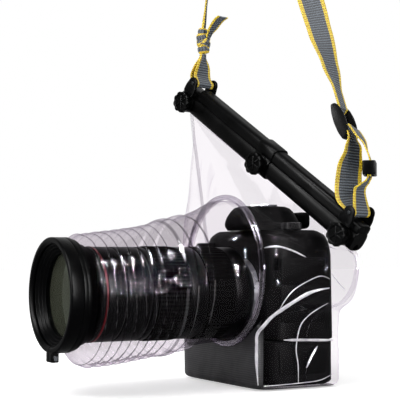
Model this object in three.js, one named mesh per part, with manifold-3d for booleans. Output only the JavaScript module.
// Soft waterproof housing for a camera with a long lens, hung from its neck strap.
// Millimetres, +Z up. The lens looks along -Y and +X is on the right of a viewer in front.
import * as THREE from 'three';
import { mergeVertices } from 'three/addons/utils/BufferGeometryUtils.js';
import Module from 'manifold-3d';

const wasm = await Module();
wasm.setup();

// Clearances
const seatGap = 0.3;
const cutOverrun = 2;
const filmWall = 0.9;

// Lens axis and port
const lensAxisX = 15;
const lensAxisZ = 90;
const portFrontY = -235;
const portDepth = 28;
const portRoom = 8.5;
const bezelDepth = 12;
const bezelLip = 4;
const bezelWall = 3.2;
const bezelLipReach = 6.5;
const windowLip = 3.1;
const windowStep = 2.2;
const windowStepCount = 3;
const portRimDepth = 4;
const portSpigotStep = 6;
const portBoreWall = 4.5;
const glassThickness = 4;
const gasketThickness = 1.4;
const spigotWall = 3;
const cuffClampWall = 3.2;
const cuffClampLength = 4;
const bezelEarWidth = 6.5;
const bezelEarDepth = 7.5;
const bezelEarHeight = 8;
const bezelSplit = 1.2;
const bezelScrewRadius = 1.3;
const bezelScrewHeadRadius = 2.4;
const bezelScrewHeadHeight = 1.8;

// Bellows sleeve
const sleeveFrontRoom = 16.5;
const sleeveFlareLength = 14;
const gatherEndRoom = 19;
const gatherEndY = -128;
const gatherDepth = 2.2;
const gatherCount = 8;
const bandRearY = -98;
const bandHeight = 2.2;
const sleeveSag = 5.5;
const flangeAxisZ = 111.4;
const cuffRoom = 25;
const cuffLength = 10;
const flangeWidth = 5.5;
const flangeThickness = 4;

// Bag
const bagSideRoom = 5;
const bagFrontRoom = 6;
const bagMouthHalfGap = 0.5;
const seamWidth = 6;
const seamThickness = 1;
const bootReturn = 5;
const bootWall = 1;

// Clamp
const railCentreX = 10.4;
const railCentreY = 2;
const railCentreZ = 219.5;
const railTilt = THREE.MathUtils.degToRad(34.8);
const railYaw = THREE.MathUtils.degToRad(15);
const railEndLength = 14;
const railHeight = 21;
const railDepth = 10;
const knobSpacing = 128;
const knobHeightOffset = -1;
const filmClampDepth = 6.6;
const filmLeftInset = 7.5;
const filmRightReach = 8;
const sealDepth = 1.5;
const sealHeight = 3.6;
const bossRadius = 10.2;
const bossHeight = 2.5;
const collarLength = 24;
const collarRise = 1.6;
const screwRadius = 2;
const screwCollarRadius = 4.6;
const screwCollarThickness = 1;
const knobRadius = 11.5;
const knobThickness = 6.5;
const knobLobeDepth = 0.6;
const knobLobeCount = 9;
const knobDishRadius = 8;
const knobDishDepth = 1.2;
const knobRibCount = 6;
const nutRadius = 4.6;
const nutThickness = 3.6;

// Strap lugs
const lugInset = 1;
const lugWidth = 16;
const lugWall = 3;
const lugBase = 3;
const lugBarHeight = 9;
const lugBarRadius = 2.2;

// Strap
const strapWidth = 26;
const strapThickness = 1.4;
const strapLoopRadius = 46;
const sliderRim = 3;
const sliderLength = 36;
const sliderThickness = 3.4;
const sliderBar = 4;
const keeperHeight = 13;
const keeperWall = 2.4;
const loopCentreOut = 65.1;
const loopCentreRise = 171.0;
const sliderOut = -14.0;
const sliderRise = 86.8;
const sliderLean = THREE.MathUtils.degToRad(19.6);
const sliderTurn = 20;
const keeperTurn = 34;
const keeperOut = 12.5;
const keeperRise = 41.3;
const knotOut = 0.5;
const knotRise = 47.3;
const knotHeight = 26;
const knotWidth = 17;
const knotDepth = 13;

// Camera
const cameraHalfWidth = 73;
const cameraFrontY = -31;
const cameraBackY = 46;
const gripTopZ = 44;
const bodyEdge = 4;
const shoulder = 12;
const holdReach = 13;
const holdRadius = 16;
const shutterInset = 20;
const shutterStemRadius = 2;
const shutterStemLength = 4;
const bodyTopZ = 151;
const humpHeight = 24;
const humpWidthShare = 0.37;
const humpFrontY = -38;
const humpBackY = 30.5;
const mountStep = 10;
const mountDepth = 6;
const barrelRadius = 44;
const barrelWall = 3;
const barrelFrontGap = 2;
const zoomRingY = -78;
const zoomRingLength = 30;
const focusRingY = -128;
const focusRingLength = 34;
const ringThickness = 2.4;
const ringRibCount = 24;
const ringRibDepth = 0.8;
const trimRingInset = 8;
const trimRingWidth = 3;
const dialRadius = 10.5;
const dialHeight = 7;
const dialPlaceShare = 0.4;
const dialY = 4;
const eyepieceDepth = 13;
const shutterRadius = 5;
const shutterHeight = 3;
const shutterTravel = 1;

// Sizes that follow from others
const portRadius = barrelRadius + portRoom;
const bezelOpeningRadius = portRadius - bezelLipReach;
const portSpigotRadius = portRadius - portSpigotStep;
const glassBoreRadius = portSpigotRadius - portBoreWall;
const glassRadius = glassBoreRadius - seatGap;
const windowRadius = glassRadius - windowLip;
const sliderWidth = strapWidth + 2 * sliderRim;
const portRearY = portFrontY + portDepth;
const barrelFrontY = portRearY + barrelFrontGap;
const trimRingY = barrelFrontY + trimRingInset;
const bagHalfWidth = cameraHalfWidth + bagSideRoom;
const bagHalfDepth = holdReach - cameraFrontY + bagFrontRoom;
const railLength = 2 * (knobSpacing + railEndLength);
const filmLeftLength = knobSpacing - filmLeftInset;
const filmRightLength = knobSpacing + filmRightReach;
const lugX = knobSpacing - lugInset;
const humpX = lensAxisX - bodyEdge;
const humpHalfWidth = humpWidthShare * cameraHalfWidth;
const dialX = mix(humpX + humpHalfWidth, cameraHalfWidth, dialPlaceShare);
const mountRadius = barrelRadius - mountStep;
const sleeveFrontRadius = barrelRadius + sleeveFrontRoom;
const gatherEndRadius = barrelRadius + gatherEndRoom;
const cuffRadius = barrelRadius + cuffRoom;
const flangeRadius = cuffRadius + flangeWidth;

// Counts
const roundSegments = 28;
const holeSegments = 2 * roundSegments;
const filmPoints = 32;

const black = { color: 0x16171a, roughness: 0.42, metalness: 0 };
const rubberBlack = { color: 0x1b1b1c, roughness: 0.8, metalness: 0 };
const steel = { color: 0xb9bcc0, roughness: 0.3, metalness: 1 };
const clearFilm = { color: 0xe6e0ec, roughness: 0.12, metalness: 0 };
const greyFilm = { color: 0x6d7075, roughness: 0.5, metalness: 0 };
const webbing = { color: 0x6f767a, roughness: 0.85, metalness: 0 };
const glass = { color: 0x44524c, roughness: 0.05, metalness: 0 };
const red = { color: 0x9c2a33, roughness: 0.4, metalness: 0 };

const housing = new THREE.Group();
const hung = new THREE.Group();
const railGroup = new THREE.Group();
housing.add(hung);
hung.add(railGroup);

const railFrame = new THREE.Matrix4().makeTranslation(railCentreX, railCentreY, railCentreZ)
  .multiply(new THREE.Matrix4().makeRotationZ(railYaw))
  .multiply(new THREE.Matrix4().makeRotationY(railTilt));
railGroup.applyMatrix4(railFrame);

// A point given in the clamp's own frame: x along the rail, y to the back, z across it.
function onRail(x, y, z) {
  return new THREE.Vector3(x, y, z).applyMatrix4(railFrame);
}

function addMesh(group, name, geometry, look) {
  const mesh = new THREE.Mesh(geometry, new THREE.MeshStandardMaterial(look));
  mesh.name = name;
  group.add(mesh);
}

// Keeps positions only, merges shared corners, drops faces that this collapsed
// and turns the rest outward.
function closed(geometry) {
  let bare = geometry.clone();
  bare.deleteAttribute('normal');
  bare.deleteAttribute('uv');
  bare = mergeVertices(bare);
  const position = bare.getAttribute('position');
  const merged = bare.getIndex().array;
  const index = [];
  for (let i = 0; i < merged.length; i += 3) {
    const face = [merged[i], merged[i + 1], merged[i + 2]];
    if (new Set(face).size === face.length) {
      index.push(...face);
    }
  }
  const corner = [new THREE.Vector3(), new THREE.Vector3(), new THREE.Vector3()];
  let volume = 0;
  for (let i = 0; i < index.length; i += 3) {
    corner.forEach((point, j) => point.fromBufferAttribute(position, index[i + j]));
    volume += corner[0].dot(corner[1].cross(corner[2]));
  }
  if (volume < 0) {
    index.reverse();
  }
  bare.setIndex(index);
  return bare;
}

function toSolid(geometry) {
  const bare = closed(geometry);
  const vertProperties = new Float32Array(bare.getAttribute('position').array);
  const triVerts = new Uint32Array(bare.getIndex().array);
  return new wasm.Manifold(new wasm.Mesh({ numProp: 3, vertProperties, triVerts }));
}

function toGeometry(solid) {
  const mesh = solid.getMesh();
  const geometry = new THREE.BufferGeometry();
  geometry.setAttribute('position', new THREE.BufferAttribute(mesh.vertProperties, mesh.numProp));
  geometry.setIndex(new THREE.BufferAttribute(mesh.triVerts, 1));
  return geometry;
}

function joined(geometries) {
  return toGeometry(geometries.map(toSolid).reduce((sum, solid) => sum.add(solid)));
}

function cut(base, tools) {
  return toGeometry(tools.map(toSolid).reduce((rest, tool) => rest.subtract(tool), toSolid(base)));
}

// Joins rings of equally many points into one closed surface. Without a cap on
// each end, the last ring meets the first, as in a tube with a wall. Where two
// sides of a thin wall face each other, otherSplit tells which of their faces
// are split along the other diagonal, so that both sides keep the same shape.
function throughRings(rings, capped, otherSplit = () => false) {
  const count = rings[0].length;
  const positions = rings.flat().flatMap((point) => [point.x, point.y, point.z]);
  const index = [];
  const spans = capped ? rings.length - 1 : rings.length;
  for (let i = 0; i < spans; i += 1) {
    const here = i * count;
    const there = ((i + 1) % rings.length) * count;
    for (let j = 0; j < count; j += 1) {
      const next = (j + 1) % count;
      const [from, to] = otherSplit(i, j) ? [here + next, there + j] : [here + j, there + next];
      index.push(here + j, here + next, to);
      index.push(from, there + next, there + j);
    }
  }
  if (capped) {
    [0, rings.length - 1].forEach((i, end) => {
      const middle = new THREE.Vector3();
      rings[i].forEach((point) => middle.addScaledVector(point, 1 / count));
      const hub = positions.length / 3;
      positions.push(middle.x, middle.y, middle.z);
      for (let j = 0; j < count; j += 1) {
        const next = (j + 1) % count;
        const pair = end ? [j, next] : [next, j];
        index.push(hub, i * count + pair[0], i * count + pair[1]);
      }
    });
  }
  const geometry = new THREE.BufferGeometry();
  geometry.setAttribute('position', new THREE.Float32BufferAttribute(positions, 3));
  geometry.setIndex(index);
  return closed(geometry);
}

// The faces of a wall's inner rings, which follow its outer rings.
function innerSide(rings) {
  return (i) => i >= rings.length / 2;
}

// Revolves a closed outline of [radius, y] points about the lens axis.
function turnedOnLens(outline, segments = roundSegments) {
  const points = outline.concat([outline[0]]).map(([radius, y]) => new THREE.Vector2(radius, y));
  return closed(new THREE.LatheGeometry(points, segments).translate(lensAxisX, 0, lensAxisZ));
}

// Revolves an outline that starts and ends on the axis about a line along Y.
function turnedAlongY(outline, x, z, segments = roundSegments) {
  const points = outline.map(([radius, y]) => new THREE.Vector2(radius, y));
  return closed(new THREE.LatheGeometry(points, segments).translate(x, 0, z));
}

function rodAlongY(radius, fromY, toY, x, z, segments = roundSegments) {
  return turnedAlongY([[0, fromY], [radius, fromY], [radius, toY], [0, toY]], x, z, segments);
}

function extrudedAlongX(shape, length) {
  const basis = new THREE.Matrix4().makeBasis(
    new THREE.Vector3(0, 1, 0), new THREE.Vector3(0, 0, 1), new THREE.Vector3(1, 0, 0));
  const body = new THREE.ExtrudeGeometry(shape, { depth: length, bevelEnabled: false });
  return closed(body.translate(0, 0, -length / 2).applyMatrix4(basis));
}

// Extrudes a shape drawn in x and z, from fromY to toY.
function extrudedAlongY(shape, fromY, toY, curveSegments = 8) {
  const options = { depth: toY - fromY, bevelEnabled: false, curveSegments };
  const body = new THREE.ExtrudeGeometry(shape, options);
  return closed(body.rotateX(Math.PI / 2).translate(0, toY, 0));
}

function block(fromX, toX, fromY, toY, fromZ, toZ) {
  const body = new THREE.BoxGeometry(toX - fromX, toY - fromY, toZ - fromZ);
  return body.translate((fromX + toX) / 2, (fromY + toY) / 2, (fromZ + toZ) / 2);
}

function mix(a, b, share) {
  return a + (b - a) * share;
}

function shapeOf(points) {
  return new THREE.Shape(points.map(([x, y]) => new THREE.Vector2(x, y)));
}

// A point on a rounded square: both values run from -1 to 1. Its two sides can
// differ in squareness.
function squareRound(angle, squareness, leftSquareness = squareness) {
  const power = 2 / (Math.cos(angle) < 0 ? leftSquareness : squareness);
  const c = Math.cos(angle);
  const s = Math.sin(angle);
  return [Math.sign(c) * Math.abs(c) ** power, Math.sign(s) * Math.abs(s) ** power];
}

// Port: a bezel clamped on the port body, the flat window with its gasket and
// the ring that holds it, and a band that clamps the sleeve on the port's spigot.
const bezelRearY = portFrontY + bezelDepth;
const neckRadius = portRadius - bezelWall - seatGap;
const neckFrontY = portFrontY + bezelLip + seatGap;
const windowStepDepth = (bezelDepth - bezelLip) / windowStepCount;
const windowFaceY = neckFrontY + windowStepDepth * windowStepCount;
const gasketSeatY = windowFaceY + windowStep;
const glassFrontY = gasketSeatY + gasketThickness + 2 * seatGap;
const windowRingY = glassFrontY + glassThickness + seatGap;
const rimRearY = bezelRearY + portRimDepth;
const sleeveFrontY = rimRearY + seatGap;
const sleeveCollarRadius = portSpigotRadius + seatGap + filmWall;

function makeBezel() {
  const ring = turnedOnLens([
    [bezelOpeningRadius + windowStep, portFrontY],
    [portRadius - windowStep / 2, portFrontY],
    [portRadius, portFrontY + windowStep / 2],
    [portRadius, bezelRearY],
    [portRadius - bezelWall, bezelRearY],
    [portRadius - bezelWall, neckFrontY - seatGap],
    [bezelOpeningRadius, neckFrontY - seatGap],
    [bezelOpeningRadius, portFrontY + windowStep],
  ]);
  const earTopZ = lensAxisZ - portRadius + bezelWall / 2;
  const earBaseZ = lensAxisZ - portRadius - bezelEarHeight;
  const ears = block(lensAxisX - bezelEarWidth, lensAxisX + bezelEarWidth,
    portFrontY, portFrontY + bezelEarDepth, earBaseZ, earTopZ);
  const half = bezelSplit / 2;
  const split = block(lensAxisX - half, lensAxisX + half, portFrontY - cutOverrun,
    bezelRearY + cutOverrun, earBaseZ - cutOverrun, lensAxisZ - bezelOpeningRadius + cutOverrun);
  const hole = bezelScrewRod(bezelScrewRadius + seatGap, bezelEarWidth + cutOverrun);
  const neck = rodAlongY(neckRadius + seatGap, neckFrontY - seatGap, bezelRearY + cutOverrun,
    lensAxisX, lensAxisZ);
  return cut(joined([ring, cut(ears, [neck])]), [split, hole]);
}

const bezelScrewY = portFrontY + bezelEarDepth / 2;
const bezelScrewZ = lensAxisZ - portRadius - bezelEarHeight / 2;

function bezelScrewRod(radius, halfLength) {
  const rod = new THREE.CylinderGeometry(radius, radius, 2 * halfLength, 12);
  return rod.rotateZ(Math.PI / 2).translate(lensAxisX, bezelScrewY, bezelScrewZ);
}

function makeBezelScrew() {
  const shank = bezelScrewRod(bezelScrewRadius, bezelEarWidth + seatGap);
  const head = new THREE.CylinderGeometry(bezelScrewHeadRadius, bezelScrewHeadRadius,
    bezelScrewHeadHeight, 12).rotateZ(Math.PI / 2);
  const headX = lensAxisX + bezelEarWidth + seatGap + bezelScrewHeadHeight / 2;
  const overlap = seatGap / 2;
  return joined([shank, head.translate(headX - overlap / 2, bezelScrewY, bezelScrewZ)]);
}

function makePortBody() {
  const outline = [
    [glassBoreRadius, portRearY],
    [portSpigotRadius, portRearY],
    [portSpigotRadius, rimRearY],
    [portRadius, rimRearY],
    [portRadius, bezelRearY + seatGap],
    [neckRadius, bezelRearY + seatGap],
    [neckRadius, neckFrontY],
  ];
  for (let i = windowStepCount; i > 0; i -= 1) {
    outline.push([windowRadius + i * windowStep, neckFrontY + (windowStepCount - i) * windowStepDepth]);
    outline.push([windowRadius + (i - 1) * windowStep + windowStep / 3,
      neckFrontY + (windowStepCount - i + 1) * windowStepDepth]);
  }
  outline.push([windowRadius, windowFaceY]);
  outline.push([windowRadius, gasketSeatY]);
  outline.push([glassBoreRadius, gasketSeatY]);
  return turnedOnLens(outline);
}

function ringOutline(inner, outer, fromY, toY) {
  return [[inner, fromY], [outer, fromY], [outer, toY], [inner, toY]];
}

function makeWindowRing() {
  return turnedOnLens(ringOutline(glassRadius - spigotWall, glassRadius, windowRingY, portRearY));
}

function makeCuffClamp() {
  const inner = sleeveCollarRadius + seatGap;
  return turnedOnLens(ringOutline(inner, inner + cuffClampWall, sleeveFrontY,
    sleeveFrontY + cuffClampLength));
}

// Sleeve: a collar under the clamp band, gathers, a band with two ridges, then a
// smooth film up to a cuff that passes through the bag's front.
const filmFrontY = -bagHalfDepth;
const cuffEndY = filmFrontY + filmWall + seatGap;
const cuffFrontY = filmFrontY - cuffLength;
const sleeveStartY = sleeveFrontY + sleeveFlareLength;

// The sleeve's centre line sags behind the port, then climbs to the flange.
const climbPower = 2.2;

function sleeveAxisZ(y) {
  const along = THREE.MathUtils.clamp((y - portRearY) / (cuffFrontY - portRearY), 0, 1);
  return mix(lensAxisZ, flangeAxisZ, along ** climbPower) - sleeveSag * (1 - along) ** climbPower;
}

function sleeveProfile() {
  const collarRearY = sleeveFrontY + cuffClampLength + seatGap;
  const profile = [
    [sleeveCollarRadius, sleeveFrontY, 0],
    [sleeveCollarRadius, collarRearY, 0],
    [mix(sleeveCollarRadius, sleeveFrontRadius - gatherDepth, 0.75),
      mix(collarRearY, sleeveStartY, 0.45), 0],
  ];
  const waveShares = [1, -1];
  const steps = gatherCount * waveShares.length;
  for (let i = 0; i < steps; i += 1) {
    const along = i / steps;
    const wave = waveShares[i % waveShares.length];
    profile.push([mix(sleeveFrontRadius, gatherEndRadius, along) + wave * gatherDepth / 2,
      mix(sleeveStartY, gatherEndY, along), wave]);
  }
  const ridgeShares = [0, 1, 1, 0, 0, 1, 1, 0];
  ridgeShares.forEach((share, i) => {
    profile.push([gatherEndRadius + share * bandHeight,
      mix(gatherEndY, bandRearY, i / (ridgeShares.length - 1)), 0]);
  });
  profile.push([mix(gatherEndRadius, cuffRadius, 0.5), mix(bandRearY, cuffFrontY, 0.6), 0]);
  profile.push([cuffRadius, cuffFrontY, 0]);
  profile.push([cuffRadius, cuffEndY, 0]);
  return profile;
}

// Moves each profile point square to the profile, into the sleeve.
function inwardProfile(profile, wall) {
  return profile.map(([radius, y, wave], i) => {
    const before = profile[Math.max(0, i - 1)];
    const after = profile[Math.min(profile.length - 1, i + 1)];
    const run = new THREE.Vector2(after[1] - before[1], after[0] - before[0]).normalize();
    return [radius - wall * run.x, y + wall * run.y, wave];
  });
}

function sleeveRing([radius, y, wave]) {
  return Array.from({ length: roundSegments }, (unused, i) => {
    const angle = (i / roundSegments) * 2 * Math.PI;
    const low = Math.max(0, -Math.sin(angle));
    const full = radius + wave * low * gatherDepth / 2;
    const axisZ = radius < sleeveFrontRadius - 2 * gatherDepth ? lensAxisZ : sleeveAxisZ(y);
    return new THREE.Vector3(lensAxisX + full * Math.cos(angle), y, axisZ + full * Math.sin(angle));
  });
}

function makeSleeve() {
  const profile = sleeveProfile();
  const outer = profile.map(sleeveRing);
  const rings = outer.concat(inwardProfile(profile, filmWall).map(sleeveRing).reverse());
  return throughRings(rings, false, innerSide(rings));
}

function makeFlange() {
  const inner = cuffRadius + seatGap;
  const rearY = filmFrontY - seatGap;
  const frontY = rearY - flangeThickness;
  const ridge = (flangeRadius - inner) / 5;
  const outline = [
    [inner, rearY],
    [flangeRadius, rearY],
    [flangeRadius, mix(rearY, frontY, 0.35)],
    [flangeRadius - ridge, mix(rearY, frontY, 0.9)],
    [flangeRadius - 2 * ridge, mix(rearY, frontY, 0.45)],
    [flangeRadius - 3 * ridge, frontY],
    [inner, frontY],
  ];
  const points = outline.concat([outline[0]]).map(([radius, y]) => new THREE.Vector2(radius, y));
  return closed(new THREE.LatheGeometry(points, roundSegments).translate(lensAxisX, 0, flangeAxisZ));
}

// Bag: sections between two side seams that climb from the base to the ends of
// the clamp. Each row gives the left and the right seam point as shares of the
// way from the base corner to the mouth's end in x, y and z, then how far each
// side of the section fills the bag's depth, and how square it is.
const bagRowShares = [
  { left: [0, 0, 0], right: [0, 0, 0], full: [1, 1, 1], square: [9, 9] },
  { left: [0.08, 0, 0.11], right: [0.02, 0, 0.23], full: [1, 1, 1], square: [9, 9] },
  { left: [0.15, 0, 0.22], right: [0.03, 0.06, 0.43], full: [1, 1, 1], square: [8, 8] },
  { left: [0.3, 0.08, 0.32], right: [0.18, 0.45, 0.55], full: [1, 1, 1], square: [8, 6] },
  { left: [0.55, 0.2, 0.42], right: [0.75, 0.82, 0.62], full: [1, 1, 1], square: [8, 4] },
  { left: [0.8, 0.35, 0.52], right: [1.11, 0.97, 0.73], full: [0.98, 1, 1], square: [7, 3.1] },
  { left: [0.95, 0.5, 0.645], right: [1.27, 1, 0.845], full: [0.85, 1, 1], square: [6, 2.9] },
  { left: [1, 0.75, 0.82], right: [1.28, 1.02, 0.92], full: [0.45, 1, 1], square: [5, 2.8] },
  { left: [1, 0.92, 0.92], right: [1.2, 1.02, 0.962], full: [0.25, 0.9, 0.94], square: [4, 2.8] },
  { left: [1, 0.98, 0.975], right: [1.08, 1, 0.988], full: [0.1, 0.45, 0.66], square: [3.4, 2.6] },
];
const middleShare = 0.5;
const fullByShare = 0.75;
const mouthLowZ = -railHeight / 2 - collarRise - 2 * seatGap;
const mouthTopZ = -railHeight / 2 + filmClampDepth;
const plyOuter = bagMouthHalfGap + filmWall;

function bagRow(row, side) {
  const [sign, length] = side === 'left' ? [-1, filmLeftLength] : [1, filmRightLength];
  const base = new THREE.Vector3(sign * bagHalfWidth, 0, 0);
  const end = onRail(sign * length, 0, mouthLowZ);
  const [x, y, z] = row[side];
  return new THREE.Vector3(mix(base.x, end.x, x), mix(base.y, end.y, y), mix(base.z, end.z, z));
}

function bagSections() {
  const sections = bagRowShares.map((row) => ({
    left: bagRow(row, 'left'), right: bagRow(row, 'right'), full: row.full, square: row.square,
  }));
  [mouthLowZ, mouthTopZ].forEach((z) => sections.push({
    left: onRail(-filmLeftLength, 0, z),
    right: onRail(filmRightLength, 0, z),
    full: [0, 0, 0],
    square: [2, 2],
  }));
  const fine = [];
  for (let i = 0; i < sections.length - 2; i += 1) {
    const [before, here, next, after] = [i - 1, i, i + 1, i + 2]
      .map((j) => sections[THREE.MathUtils.clamp(j, 0, sections.length - 1)]);
    fine.push(here);
    const smooth = (a, b, c, d) => (9 * (b + c) - a - d) / 16;
    const between = (side) => new THREE.Vector3(...['x', 'y', 'z'].map((axis) => smooth(
      before[side][axis], here[side][axis], next[side][axis], after[side][axis])));
    fine.push({
      left: between('left'),
      right: between('right'),
      full: [0, 1, 2].map((end) => THREE.MathUtils.clamp(smooth(
        before.full[end], here.full[end], next.full[end], after.full[end]), 0, 1)),
      square: [0, 1].map((end) => (here.square[end] + next.square[end]) / 2),
    });
  }
  return fine.concat(sections.slice(-2));
}

const railBack = new THREE.Vector3(-Math.sin(railYaw), Math.cos(railYaw), 0);

// How far the film reaches from the seams' line to the bag's front or back.
function fullAt([left, middle, right], share) {
  const toMiddle = mix(left, middle, THREE.MathUtils.smoothstep(share, 0, middleShare));
  return mix(toMiddle, right, THREE.MathUtils.smoothstep(share, middleShare, fullByShare));
}

// The four points of the welded fin at one side of a section. Without a fin
// they stay on the section, so that every ring has as many points.
function finPoints(seam, out, side, width) {
  const root = width > 0 ? seamThickness / 2 : seamThickness / 10;
  const tip = width > 0 ? root : root / 3;
  return [[0, -root], [width, -tip], [width, tip], [0, root]].map(([reach, back]) => seam.clone()
    .addScaledVector(out, reach * side).addScaledVector(railBack, back * side));
}

function bagRing(section, inset, finWidth = 0) {
  const width = section.left.distanceTo(section.right);
  const left = section.left.clone().lerp(section.right, inset / width);
  const right = section.right.clone().lerp(section.left, inset / width);
  const out = right.clone().sub(left).normalize();
  const mouth = plyOuter - inset;
  return Array.from({ length: filmPoints }, (unused, i) => {
    if (i % (filmPoints / 2) === 0) {
      return i === 0 ? finPoints(right, out, 1, finWidth) : finPoints(left, out, -1, finWidth);
    }
    const [across, depth] = squareRound((i / filmPoints) * 2 * Math.PI,
      section.square[1], section.square[0]);
    const seam = left.clone().lerp(right, (across + 1) / 2);
    const full = fullAt(section.full, (across + 1) / 2);
    const face = Math.sign(depth) * (bagHalfDepth - inset);
    seam.y += Math.abs(depth) * full * (face - seam.y);
    return seam.addScaledVector(railBack, depth * (1 - full) * mouth);
  }).flat();
}

// The film's inner face. It lies lower where the film runs flat towards the
// clamp, which keeps the wall's thickness there.
function innerBagRing(section) {
  const drop = filmWall * (1 - Math.min(...section.full));
  return bagRing(section, filmWall).map((point) => point.setZ(point.z - drop));
}

function makeBag() {
  const sections = bagSections();
  const outer = sections.map((section) => bagRing(section, 0, seamWidth));
  const inner = sections.map(innerBagRing).reverse();
  inner[inner.length - 1].forEach((point) => point.setZ(filmWall));
  const rings = outer.concat(inner);
  const shell = throughRings(rings, true, innerSide(rings));
  const hole = rodAlongY(cuffRadius + seatGap, filmFrontY - cutOverrun, -bagHalfDepth / 2,
    lensAxisX, flangeAxisZ, holeSegments);
  return cut(shell, [hole]);
}

// Grey boot: the opaque panel under the lens, folded back under the base.
function makeBoot() {
  const sections = bagSections().slice(0, 5);
  const skin = (offset) => {
    const rings = sections.map((section) => bagRing(section, -offset));
    rings[0].forEach((point) => point.setZ(-offset));
    return rings;
  };
  const walls = skin(seatGap + bootWall).concat(skin(seatGap).reverse());
  const cup = throughRings(walls, true, innerSide(walls));
  const rear = block(-2 * bagHalfWidth, 2 * bagHalfWidth, filmFrontY + bootReturn, 2 * bagHalfDepth,
    -seatGap, 2 * bagHalfDepth);
  const flangeCut = rodAlongY(flangeRadius + seatGap, 2 * filmFrontY, filmFrontY + bootReturn + cutOverrun,
    lensAxisX, flangeAxisZ);
  return cut(cup, [rear, flangeCut]);
}

// Clamp rails. The film lies between them in their lower part, pressed by a seal
// in each, and above it their lips meet.
const lipY = seatGap / 2;
const throatY = plyOuter + seatGap;
const lipZ = mouthTopZ + seatGap;
const sealCentreZ = (mouthTopZ - railHeight / 2) / 2 - seatGap;

function railSection(rise) {
  const half = railHeight / 2 + rise;
  const outer = [];
  const steps = 10;
  for (let i = 0; i <= steps; i += 1) {
    const [depth, height] = squareRound(Math.PI / 2 - (i / steps) * Math.PI, 3);
    outer.push([lipY + (railDepth + rise - lipY) * depth, half * height]);
  }
  const sealLow = sealCentreZ - sealHeight / 2 - seatGap;
  const sealHigh = sealCentreZ + sealHeight / 2 + seatGap;
  const grooveY = throatY + sealDepth;
  return outer.slice(0, -1).concat([
    [throatY, -half],
    [throatY, sealLow],
    [grooveY, sealLow],
    [grooveY, sealHigh],
    [throatY, sealHigh],
    [throatY, lipZ],
    [lipY, lipZ],
  ]);
}

const knobPlaces = [['left', -knobSpacing], ['middle', 0], ['right', knobSpacing]];

// side is -1 for the rail in front and 1 for the one behind.
function makeRail(side) {
  const facing = (points) => shapeOf(points.map(([y, z]) => [side * y, z]));
  const bar = extrudedAlongX(facing(railSection(0)), railLength);
  const collar = extrudedAlongX(facing(railSection(collarRise)), collarLength);
  const parts = [bar, collar];
  const tools = [];
  knobPlaces.forEach(([, x]) => {
    const bossFace = side * (railDepth + bossHeight);
    const boss = [side * railDepth / 2, bossFace].sort((a, b) => a - b);
    parts.push(rodAlongY(bossRadius, boss[0], boss[1], x, knobHeightOffset, 20));
    tools.push(rodAlongY(screwRadius + seatGap, -railDepth * 2, railDepth * 2, x, knobHeightOffset, 16));
    if (side > 0) {
      tools.push(rodAlongY(nutRadius + seatGap, bossFace - nutThickness - seatGap,
        bossFace + cutOverrun, x, knobHeightOffset, 6));
    }
  });
  return cut(joined(parts), tools);
}

function makeSeal(side) {
  const near = side * (plyOuter + seatGap);
  const far = side * (throatY + sealDepth - seatGap);
  const [fromY, toY] = [near, far].sort((a, b) => a - b);
  return block(-filmLeftLength, filmRightLength, fromY, toY,
    sealCentreZ - sealHeight / 2, sealCentreZ + sealHeight / 2);
}

const bossFaceY = railDepth + bossHeight;
const knobRearY = -bossFaceY - screwCollarThickness - 2 * seatGap;
const knobFrontY = knobRearY - knobThickness;
const nutFrontY = bossFaceY - nutThickness;

function makeKnob(x) {
  const points = [];
  const steps = knobLobeCount * 4;
  for (let i = 0; i < steps; i += 1) {
    const angle = (i / steps) * 2 * Math.PI;
    const radius = knobRadius - knobLobeDepth * (0.5 - 0.5 * Math.cos(knobLobeCount * angle));
    points.push([radius * Math.cos(angle), radius * Math.sin(angle)]);
  }
  const disc = extrudedAlongY(shapeOf(points), knobFrontY, knobRearY).translate(x, 0, knobHeightOffset);
  const dish = rodAlongY(knobDishRadius, knobFrontY - cutOverrun, knobFrontY + knobDishDepth,
    x, knobHeightOffset, 24);
  const ribs = Array.from({ length: knobRibCount / 2 }, (unused, i) => {
    const rib = new THREE.BoxGeometry(2 * knobDishRadius + knobDishDepth, knobDishDepth * 2, knobDishDepth);
    rib.rotateY((i / knobRibCount) * 2 * Math.PI);
    return rib.translate(x, knobFrontY + knobDishDepth * 1.3, knobHeightOffset);
  });
  const bore = rodAlongY(screwRadius + seatGap, knobFrontY + knobThickness / 3,
    knobRearY + cutOverrun, x, knobHeightOffset, 16);
  return cut(joined([cut(disc, [dish]), ...ribs]), [bore]);
}

function makeScrew(x) {
  const headY = knobFrontY + knobThickness / 3 + seatGap;
  const collarY = knobRearY + seatGap;
  return turnedAlongY([
    [0, headY],
    [screwRadius, headY],
    [screwRadius, collarY],
    [screwCollarRadius, collarY],
    [screwCollarRadius, collarY + screwCollarThickness],
    [screwRadius, collarY + screwCollarThickness],
    [screwRadius, bossFaceY],
    [0, bossFaceY + screwRadius / 2],
  ], x, knobHeightOffset, 16);
}

function makeNut(x) {
  const body = rodAlongY(nutRadius, nutFrontY, bossFaceY, x, knobHeightOffset, 6);
  const bore = rodAlongY(screwRadius + seatGap / 3, nutFrontY - cutOverrun, bossFaceY + cutOverrun,
    x, knobHeightOffset, 16);
  return cut(body, [bore]);
}

// Strap lug: two ears on a saddle over the rail's end, with a bar between them.
const lugBaseZ = railHeight / 2 + seatGap;
const lugBarZ = lugBaseZ + lugBase + lugBarHeight;
const lugHalfDepth = strapWidth / 2 + 2 * seatGap + lugWall;

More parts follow.
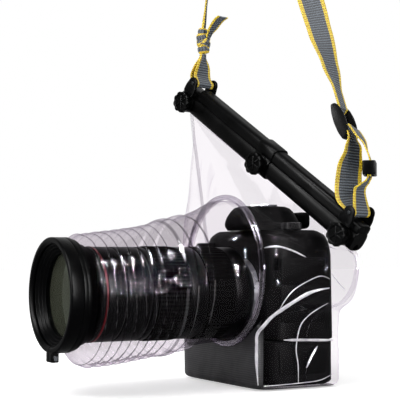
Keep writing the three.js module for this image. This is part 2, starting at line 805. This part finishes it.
function makeLug(x) {
  const half = lugWidth / 2;
  const outline = new THREE.Shape();
  outline.moveTo(-half, lugBaseZ);
  outline.lineTo(half, lugBaseZ);
  outline.lineTo(half, lugBarZ - lugBarRadius);
  outline.absarc(0, lugBarZ, half * 0.8, 0, Math.PI, false);
  outline.lineTo(-half, lugBarZ - lugBarRadius);
  const whole = extrudedAlongY(outline, -lugHalfDepth, lugHalfDepth, 8).translate(x, 0, 0);
  const gap = block(x - lugWidth, x + lugWidth, lugWall - lugHalfDepth, lugHalfDepth - lugWall,
    lugBaseZ + lugBase, lugBarZ + lugWidth);
  const hole = rodAlongY(lugBarRadius + seatGap, -lugHalfDepth - cutOverrun,
    lugHalfDepth + cutOverrun, x, lugBarZ, 16);
  return cut(whole, [gap, hole]);
}

function makeLugBar(x) {
  return rodAlongY(lugBarRadius, -lugHalfDepth, lugHalfDepth, x, lugBarZ, 16);
}

// Strap. Its routes lie in the upright plane through the rail. Each point gives
// the way along that plane, the way out of it, the height and, in degrees, the
// way that the webbing's width points seen from above.
const planeAlong = new THREE.Vector3(Math.cos(railYaw), Math.sin(railYaw), 0);
const acrossPlane = THREE.MathUtils.radToDeg(railYaw) + 90;

function strapPoint([along, out, height, facing]) {
  const place = new THREE.Vector3(railCentreX, railCentreY, height);
  place.addScaledVector(planeAlong, along).addScaledVector(railBack, out);
  return { place, facing: THREE.MathUtils.degToRad(facing) };
}

// A ribbon of webbing along a route, square to it.
function ribbon(route, width = strapWidth) {
  const stations = route.map(strapPoint);
  const rings = stations.map(({ place, facing }, i) => {
    const before = stations[Math.max(0, i - 1)].place;
    const after = stations[Math.min(stations.length - 1, i + 1)].place;
    const run = after.clone().sub(before).normalize();
    const across = new THREE.Vector3(Math.cos(facing), Math.sin(facing), 0);
    across.addScaledVector(run, -across.dot(run)).normalize();
    const through = run.clone().cross(across).multiplyScalar(strapThickness / 2);
    across.multiplyScalar(width / 2);
    return [[1, 1], [-1, 1], [-1, -1], [1, -1]].map(([a, b]) => place.clone()
      .addScaledVector(across, a).addScaledVector(through, b));
  });
  return throughRings(rings, true, (i, j) => j >= rings[0].length / 2);
}

const strapPly = strapThickness + seatGap;
const [[loopCentreAlong, , loopCentreZ]] = fromBar(-lugX, [[loopCentreOut, 0, loopCentreRise, 0]]);
const loopStartAngle = THREE.MathUtils.degToRad(171.2);
const loopEndAngle = THREE.MathUtils.degToRad(19.6);
const loopSteps = 12;

// The bar's centre, seen in the strap's upright plane.
function barPlace(x) {
  const place = onRail(x, 0, lugBarZ).sub(new THREE.Vector3(railCentreX, railCentreY, 0));
  return [place.x * planeAlong.x + place.y * planeAlong.y, place.z];
}

// Route points that are given from a lug bar's centre, so that they follow it.
function fromBar(x, offsets) {
  const [along, height] = barPlace(x);
  return offsets.map(([side, out, rise, facing]) => [along + side, out, height + rise, facing]);
}

// Points round the underside of a lug bar, from one ply to the other.
function roundBar(x, fromDegrees, toDegrees) {
  const [along, height] = barPlace(x);
  const radius = lugBarRadius + seatGap + strapThickness / 2;
  return [0, 0.25, 0.5, 0.75, 1].map((share) => {
    const angle = THREE.MathUtils.degToRad(mix(fromDegrees, toDegrees, share));
    return [along + radius * Math.cos(angle), 0, height + radius * Math.sin(angle), acrossPlane];
  });
}

function neckLoop() {
  return Array.from({ length: loopSteps + 1 }, (unused, i) => {
    const angle = mix(loopStartAngle, loopEndAngle, i / loopSteps);
    return [loopCentreAlong + strapLoopRadius * Math.cos(angle), 0,
      loopCentreZ + strapLoopRadius * Math.sin(angle), acrossPlane];
  });
}

const neckRoute = [
  ...fromBar(-lugX, [
    [1.0, 0, 61.3, 150],
    [3.3, 0, 75.3, 150],
    [6.0, 0, 91.3, 148],
    [9.6, 0, 114.3, 138],
    [14.3, 0, 144.3, 118],
  ]),
  ...neckLoop(),
  ...fromBar(lugX, [
    [-88.3, 0, 298.3, 96],
    [-73.3, 0, 255.3, 78],
    [-57.8, 0, 212.3, 62],
    [-45.8, 0, 178.3, 76],
    [-33.8, 0, 144.3, 104],
    [-24.7, 0, 118.8, acrossPlane + sliderTurn],
    [-18.4, 0, 101.0, acrossPlane + sliderTurn],
  ]),
];

const leftLoopRoute = [
  ...fromBar(-lugX, [
    [-1.3, 0, 33.3, 128],
    [-3.9, 0, 21.3, 118],
    [-7.2, 0, 9.3, 108],
  ]),
  ...roundBar(-lugX, 172, 368),
  ...fromBar(-lugX, [
    [-1.3, 0, 9.3, 108],
    [0.5, 0, 21.3, 118],
    [1.1, 0, 33.3, 128],
  ]),
];

const tailRoute = [
  ...fromBar(-lugX, [
    [8.4, 0, 50.9, 116],
    [14.8, 0, 58.8, 118],
    [23.3, 0, 66.3, 112],
    [30.3, 0, 69.3, 108],
  ]),
];

const rightShortRoute = [
  ...fromBar(lugX, [
    [-10.3, 0, 81.3, acrossPlane + sliderTurn],
    [-7.1, 0, 72.3, acrossPlane + sliderTurn],
    [-6.5, 0, 60.3, 104],
    [-11.0, 0, 42.3, 76],
    [-12.8, 0, 26.3, 66],
    [-13.1, 0, 14.3, 82],
  ]),
  ...roundBar(lugX, 178, 376),
  ...fromBar(lugX, [
    [0.7, 0, 21.3, 118],
    [6.6, 0, 28.3, 130],
    [11.3, 0, 34.0, acrossPlane + keeperTurn],
    [11.3, 0, 46.3, acrossPlane + keeperTurn],
  ]),
];

const rightTailRoute = [
  ...fromBar(lugX, [
    [-5.7, 0, 81.3, acrossPlane + sliderTurn],
    [1.3, 0, 72.3, acrossPlane + sliderTurn],
    [8.6, 0, 60.3, acrossPlane + keeperTurn],
    [13.7, 0, 47.3, acrossPlane + keeperTurn],
    [13.7, 0, 33.3, acrossPlane + keeperTurn],
  ]),
];

// A piece made upright at the origin, leaned, turned with the strap's twist and
// set on the strap beside a lug bar.
function placedOnStrap(geometry, barX, side, rise, lean, turn) {
  geometry.rotateY(lean);
  geometry.rotateZ(railYaw + THREE.MathUtils.degToRad(turn));
  const { place } = strapPoint(fromBar(barX, [[side, 0, rise, 0]])[0]);
  return geometry.translate(place.x, place.y, place.z);
}

// Ladder-lock slider: a plate across the strap with bars and open slots.
function makeSlider() {
  const plate = block(-sliderThickness / 2, sliderThickness / 2, -sliderWidth / 2, sliderWidth / 2,
    -sliderLength / 2, sliderLength / 2);
  const slotHalf = strapWidth / 2 + 2 * seatGap;
  const slots = [-1, 0, 1].map((i) => {
    const pitch = (sliderLength - sliderBar) / 3;
    return block(-sliderThickness, sliderThickness, -slotHalf, slotHalf,
      i * pitch - (pitch - sliderBar) / 2, i * pitch + (pitch - sliderBar) / 2);
  });
  return placedOnStrap(cut(plate, slots), lugX, sliderOut - sliderThickness, sliderRise, -sliderLean,
    sliderTurn);
}

// Keeper: a flat ring round two plies of the strap.
function makeKeeper() {
  const halfAcross = strapWidth / 2 + 4 * seatGap;
  const halfThrough = strapPly + 2 * seatGap + strapThickness;
  const outer = block(-halfThrough - keeperWall, halfThrough + keeperWall,
    -halfAcross - keeperWall, halfAcross + keeperWall, -keeperHeight / 2, keeperHeight / 2);
  const inner = block(-halfThrough, halfThrough, -halfAcross, halfAcross,
    -keeperHeight, keeperHeight);
  return placedOnStrap(cut(outer, [inner]), lugX, keeperOut, keeperRise, 0, keeperTurn);
}

// The knot that gathers the left strap: stacked turns, wide in the middle.
function makeKnot() {
  const rows = 9;
  const rings = Array.from({ length: rows }, (unused, k) => {
    const share = k / (rows - 1);
    const swell = 0.72 + 0.28 * Math.sin(Math.PI * share) + (k % 2 ? 0.06 : -0.06);
    return Array.from({ length: 16 }, (none, i) => {
      const angle = (i / 16) * 2 * Math.PI;
      return new THREE.Vector3(swell * knotDepth / 2 * Math.cos(angle),
        swell * knotWidth / 2 * Math.sin(angle), (share - 0.5) * knotHeight);
    });
  });
  return placedOnStrap(throughRings(rings, true), -lugX, knotOut, knotRise, 0, 0);
}

// Camera: sections up the body, from rounded rectangles.
function sectionBody(rows, middleX) {
  return throughRings(rows.map(([z, halfWidth, frontY, backY, square]) => {
    const points = 32;
    return Array.from({ length: points }, (unused, i) => {
      const [across, depth] = squareRound((i / points) * 2 * Math.PI, square);
      const face = (backY + frontY) / 2 + depth * (backY - frontY) / 2;
      return new THREE.Vector3(middleX + across * halfWidth, face, z);
    });
  }), true);
}

const shutterX = shutterInset - cameraHalfWidth;
const cameraBaseZ = filmWall + seatGap;
const bodyBaseZ = gripTopZ + seatGap;

function makeBatteryGrip() {
  return sectionBody([
    [cameraBaseZ, cameraHalfWidth - bodyEdge, cameraFrontY, cameraBackY - bodyEdge, 6],
    [cameraBaseZ + bodyEdge, cameraHalfWidth, cameraFrontY - bodyEdge, cameraBackY, 6],
    [gripTopZ - bodyEdge / 2, cameraHalfWidth, cameraFrontY - bodyEdge, cameraBackY, 6],
    [gripTopZ, cameraHalfWidth - bodyEdge / 2, cameraFrontY - bodyEdge / 2, cameraBackY - bodyEdge / 2, 6],
  ], 0);
}

function makeCameraBody() {
  const body = sectionBody([
    [bodyBaseZ, cameraHalfWidth - bodyEdge / 2, cameraFrontY + bodyEdge / 2, cameraBackY - bodyEdge / 2, 7],
    [bodyBaseZ + bodyEdge / 2, cameraHalfWidth, cameraFrontY, cameraBackY, 7],
    [bodyTopZ - 2 * shoulder, cameraHalfWidth, cameraFrontY, cameraBackY, 6],
    [bodyTopZ - shoulder, cameraHalfWidth - bodyEdge / 2, cameraFrontY + bodyEdge / 2, cameraBackY, 5],
    [bodyTopZ - bodyEdge, cameraHalfWidth - shoulder / 2, cameraFrontY + shoulder / 2,
      cameraBackY - bodyEdge, 5],
    [bodyTopZ, cameraHalfWidth - shoulder, cameraFrontY + shoulder, cameraBackY - shoulder, 5],
  ], 0);
  const holdX = holdRadius + bodyEdge - cameraHalfWidth;
  const hold = sectionBody([
    [bodyBaseZ, holdRadius - bodyEdge, cameraFrontY - holdReach + bodyEdge, 0, 3],
    [bodyBaseZ + bodyEdge, holdRadius, cameraFrontY - holdReach, 0, 3],
    [bodyTopZ - 2 * shoulder, holdRadius, cameraFrontY - holdReach, 0, 3],
    [bodyTopZ - shoulder, holdRadius - bodyEdge, cameraFrontY - holdReach + bodyEdge, 0, 3],
  ], holdX);
  const socket = new THREE.CylinderGeometry(shutterStemRadius + seatGap, shutterStemRadius + seatGap,
    2 * shutterStemLength, 16).rotateX(Math.PI / 2).translate(shutterX, 0, bodyTopZ);
  return cut(joined([body, hold]), [socket]);
}

function makeHump() {
  const baseZ = bodyTopZ + seatGap;
  return sectionBody([
    [baseZ, humpHalfWidth, humpFrontY + bodyEdge, humpBackY, 5],
    [mix(baseZ, baseZ + humpHeight, 0.3), humpHalfWidth * 0.93, humpFrontY, humpBackY, 5],
    [mix(baseZ, baseZ + humpHeight, 0.8), humpHalfWidth * 0.74, humpFrontY + bodyEdge,
      humpBackY - bodyEdge, 4],
    [baseZ + humpHeight, humpHalfWidth * 0.6, humpFrontY + shoulder, humpBackY - shoulder, 4],
  ], humpX);
}

function makeEyepiece() {
  const width = humpHalfWidth * 0.62;
  const height = humpHeight * 0.36;
  const centreZ = bodyTopZ + humpHeight * 0.45;
  const startY = humpBackY + seatGap;
  const hood = [];
  [[0, 0.85], [0.6, 0.85], [0.75, 1], [1, 1]].forEach(([share, size]) => {
    hood.push(Array.from({ length: 24 }, (unused, i) => {
      const [across, up] = squareRound((i / 24) * 2 * Math.PI, 4);
      return new THREE.Vector3(humpX + across * width * size,
        startY + share * eyepieceDepth, centreZ + up * height * size);
    }));
  });
  const window = block(humpX - width * 0.7, humpX + width * 0.7,
    startY + eyepieceDepth / 2, startY + eyepieceDepth + cutOverrun,
    centreZ - height * 0.6, centreZ + height * 0.6);
  return cut(throughRings(hood, true), [window]);
}

// Lens: a tube with a stepped outside, rings that turn on it, and a front glass.
const mountFrontY = cameraFrontY - mountDepth;
const barrelRearY = mountFrontY - seatGap;
const ringSeatRadius = barrelRadius - ringThickness;

function makeBarrel() {
  const groove = (middle, length, depth) => [
    [barrelRadius - depth, middle + length / 2 + seatGap],
    [barrelRadius - depth, middle - length / 2 - seatGap],
  ];
  const step = (middle, length, depth) => {
    const [rear, front] = groove(middle, length, depth);
    return [[barrelRadius, rear[1]], rear, front, [barrelRadius, front[1]]];
  };
  return turnedOnLens([
    [mountRadius, barrelRearY],
    [barrelRadius, barrelRearY - (barrelRadius - mountRadius)],
    ...step(zoomRingY, zoomRingLength, ringThickness),
    ...step(focusRingY, focusRingLength, ringThickness),
    ...step(trimRingY, trimRingWidth, ringThickness / 2),
    [barrelRadius, barrelFrontY + bodyEdge],
    [barrelRadius - bodyEdge, barrelFrontY],
    [barrelRadius - bodyEdge - barrelWall, barrelFrontY],
    [barrelRadius - bodyEdge - barrelWall, barrelFrontY + 2 * bodyEdge],
    [mountRadius - barrelWall, barrelFrontY + 4 * bodyEdge],
    [mountRadius - barrelWall, barrelRearY],
  ]);
}

function makeRibbedRing(middle, length) {
  const inner = ringSeatRadius + seatGap;
  const crest = barrelRadius + ringRibDepth;
  const points = [];
  for (let i = 0; i < ringRibCount * 2; i += 1) {
    const angle = (i / (ringRibCount * 2)) * 2 * Math.PI;
    const radius = i % 2 ? crest : barrelRadius;
    points.push([radius * Math.cos(angle), radius * Math.sin(angle)]);
  }
  const whole = extrudedAlongY(shapeOf(points), middle - length / 2, middle + length / 2);
  whole.translate(lensAxisX, 0, lensAxisZ);
  const bore = rodAlongY(inner, middle - length, middle + length, lensAxisX, lensAxisZ);
  return cut(whole, [bore]);
}

function makeTrimRing() {
  const half = trimRingWidth / 2;
  const inner = barrelRadius - ringThickness / 2 + seatGap;
  const outer = barrelRadius + ringRibDepth / 2;
  return turnedOnLens(ringOutline(inner, outer, trimRingY - half, trimRingY + half));
}

function makeFrontElement() {
  const radius = barrelRadius - bodyEdge - barrelWall - seatGap;
  const rearY = barrelFrontY + 2 * bodyEdge - seatGap;
  return turnedAlongY([
    [0, rearY - bodyEdge],
    [radius * 0.6, rearY - bodyEdge * 0.8],
    [radius, rearY - bodyEdge * 0.4],
    [radius, rearY],
    [0, rearY],
  ], lensAxisX, lensAxisZ);
}

function makeMountRing() {
  return turnedOnLens(ringOutline(mountRadius - barrelWall, mountRadius,
    mountFrontY, cameraFrontY - seatGap));
}

function makeDial() {
  const points = Array.from({ length: 40 }, (unused, i) => {
    const angle = (i / 40) * 2 * Math.PI;
    const radius = dialRadius - (i % 2 ? ringRibDepth / 2 : 0);
    return [radius * Math.cos(angle), radius * Math.sin(angle)];
  });
  const body = new THREE.ExtrudeGeometry(shapeOf(points), { depth: dialHeight, bevelEnabled: false });
  return closed(body.translate(dialX, dialY, bodyTopZ + seatGap));
}

// Shutter button on a stem that slides in the body's socket.
function makeShutter() {
  const baseZ = bodyTopZ + shutterTravel + seatGap;
  const outline = [
    [0, baseZ + shutterHeight],
    [shutterRadius * 0.8, baseZ + shutterHeight],
    [shutterRadius, baseZ + shutterHeight * 0.7],
    [shutterRadius, baseZ],
    [shutterStemRadius, baseZ],
    [shutterStemRadius, bodyTopZ - shutterStemLength + shutterTravel + seatGap],
    [0, bodyTopZ - shutterStemLength + shutterTravel + seatGap],
  ];
  const points = outline.map(([radius, z]) => new THREE.Vector2(radius, z));
  return closed(new THREE.LatheGeometry(points, 20).rotateX(Math.PI / 2).translate(shutterX, 0, 0));
}

addMesh(hung, 'port_bezel', makeBezel(), black);
addMesh(hung, 'bezel_screw', makeBezelScrew(), steel);
addMesh(hung, 'port_body', makePortBody(), black);
addMesh(hung, 'port_gasket', turnedOnLens(ringOutline(windowRadius + seatGap, glassRadius,
  gasketSeatY + seatGap, gasketSeatY + seatGap + gasketThickness)), rubberBlack);
addMesh(hung, 'port_window', rodAlongY(glassRadius, glassFrontY, glassFrontY + glassThickness,
  lensAxisX, lensAxisZ), glass);
addMesh(hung, 'window_ring', makeWindowRing(), black);
addMesh(hung, 'sleeve_clamp_ring', makeCuffClamp(), black);
addMesh(hung, 'lens_sleeve', makeSleeve(), clearFilm);
addMesh(hung, 'sleeve_flange', makeFlange(), clearFilm);
addMesh(hung, 'film_bag', makeBag(), clearFilm);
addMesh(hung, 'grey_boot', makeBoot(), greyFilm);

addMesh(railGroup, 'front_rail', makeRail(-1), black);
addMesh(railGroup, 'rear_rail', makeRail(1), black);
addMesh(railGroup, 'front_seal', makeSeal(-1), rubberBlack);
addMesh(railGroup, 'rear_seal', makeSeal(1), rubberBlack);
knobPlaces.forEach(([side, x]) => {
  addMesh(railGroup, `${side}_knob`, makeKnob(x), black);
  addMesh(railGroup, `${side}_clamp_screw`, makeScrew(x), steel);
  addMesh(railGroup, `${side}_nut`, makeNut(x), steel);
});
[['left', -lugX], ['right', lugX]].forEach(([side, x]) => {
  addMesh(railGroup, `${side}_strap_lug`, makeLug(x), black);
  addMesh(railGroup, `${side}_lug_bar`, makeLugBar(x), steel);
});

addMesh(hung, 'neck_strap', ribbon(neckRoute), webbing);
addMesh(hung, 'left_strap_loop', ribbon(leftLoopRoute), webbing);
addMesh(hung, 'strap_knot', makeKnot(), webbing);
addMesh(hung, 'left_strap_tail', ribbon(tailRoute, strapWidth * 0.6), webbing);
addMesh(hung, 'right_strap_loop', ribbon(rightShortRoute), webbing);
addMesh(hung, 'right_strap_tail', ribbon(rightTailRoute), webbing);
addMesh(hung, 'strap_slider', makeSlider(), black);
addMesh(hung, 'strap_keeper', makeKeeper(), black);

addMesh(hung, 'camera_body', makeCameraBody(), black);
addMesh(hung, 'battery_grip', makeBatteryGrip(), black);
addMesh(hung, 'viewfinder_hump', makeHump(), black);
addMesh(hung, 'eyepiece', makeEyepiece(), rubberBlack);
addMesh(hung, 'mode_dial', makeDial(), black);
addMesh(hung, 'shutter_button', makeShutter(), black);
addMesh(hung, 'lens_mount', makeMountRing(), steel);
addMesh(hung, 'lens_barrel', makeBarrel(), black);
addMesh(hung, 'zoom_ring', makeRibbedRing(zoomRingY, zoomRingLength), rubberBlack);
addMesh(hung, 'focus_ring', makeRibbedRing(focusRingY, focusRingLength), rubberBlack);
addMesh(hung, 'trim_ring', makeTrimRing(), red);
addMesh(hung, 'front_element', makeFrontElement(), glass);

// The part hangs from the strap: its origin is the underside of the loop's top.
const { place: loopCentre } = strapPoint([loopCentreAlong, 0, loopCentreZ, 0]);
hung.position.set(-loopCentre.x, -loopCentre.y, strapThickness / 2 - strapLoopRadius - loopCentreZ);

export default housing;
